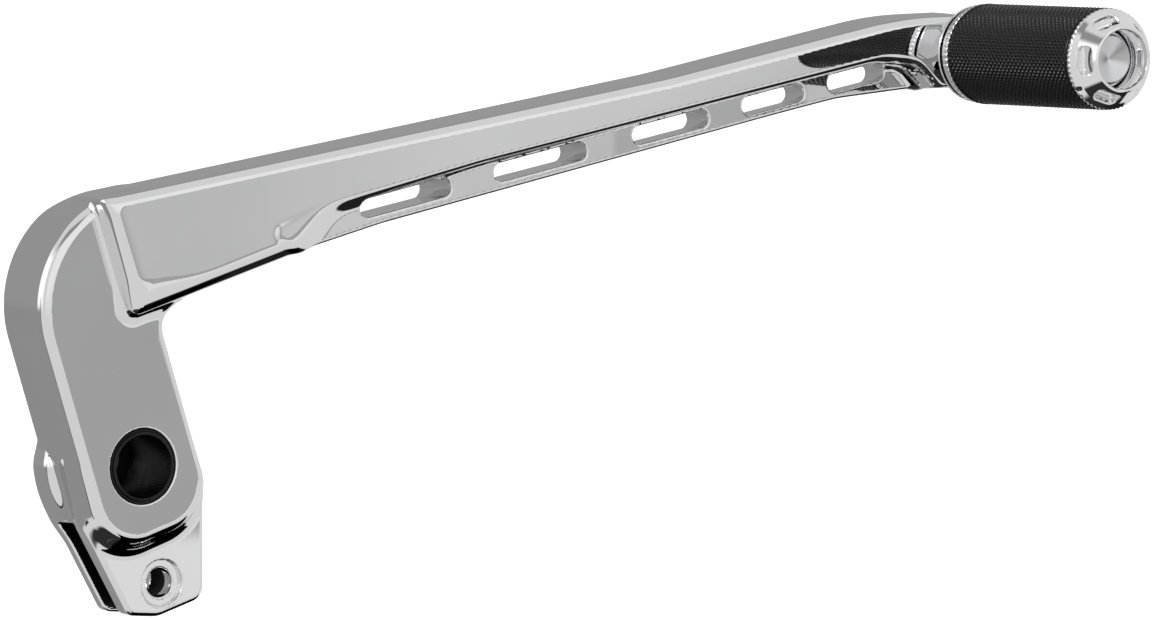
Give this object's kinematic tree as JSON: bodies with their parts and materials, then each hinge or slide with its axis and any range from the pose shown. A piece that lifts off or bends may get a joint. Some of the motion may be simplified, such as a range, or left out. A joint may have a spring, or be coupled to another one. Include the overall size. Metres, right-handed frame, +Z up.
{
  "type": "motorcycle gear shift lever",
  "caption": "Chrome toe-shift lever: pivot hub with a linkage fork, a raised slotted arm and a rolling knurled rubber toe peg with a windowed domed cap.",
  "frame": {"origin": "middle of the pivot sleeve, on the pivot axis", "axes": "+X along the arm towards the toe peg, +Y along the pivot axis towards the motorcycle, +Z up"},
  "size_m": [0.3144, 0.1047, 0.161],
  "materials": {
    "polished_chrome": "mirror polished chrome plate",
    "bright_chrome": "turned and chrome plated",
    "black_steel": "black oxide, lightly oiled",
    "zinc_steel": "bright zinc plate",
    "black_polymer": "moulded, satin",
    "bronze_bush": "sintered bronze",
    "turned_aluminium": "turned",
    "knurled_rubber": "diamond knurled"
  },
  "bodies": {
    "pivot_mount": {"pivot_sleeve": "black_steel"},
    "lever": {"lever_body": "polished_chrome", "front_pivot_bushing": "black_polymer", "rear_pivot_bushing": "black_polymer", "peg_mount_bolt": "zinc_steel", "peg_lock_washer": "zinc_steel", "neck_spacer": "bright_chrome", "peg_axle": "bright_chrome", "inner_thrust_washer": "black_polymer", "outer_thrust_washer": "black_polymer"},
    "toe_roller": {"inner_peg_bush": "bronze_bush", "outer_peg_bush": "bronze_bush", "peg_core": "turned_aluminium", "rubber_grip": "knurled_rubber", "inner_collar": "bright_chrome", "end_cap": "bright_chrome", "cap_set_screw": "black_steel"}
  },
  "joints": [
    {"name": "lever_swing", "type": "hinge", "parent": "pivot_mount", "child": "lever", "pos_m": [0, 0, 0], "axis": [0, 1, 0], "range_deg": [-12, 12], "stiffness_Nm_per_rad": 80, "springref_deg": -0.86},
    {"name": "toe_peg_spin", "type": "hinge", "parent": "lever", "child": "toe_roller", "pos_m": [0.2688, -0.019, 0.1031], "axis": [0, 0.9997, -0.0262], "continuous": true}
  ]
}
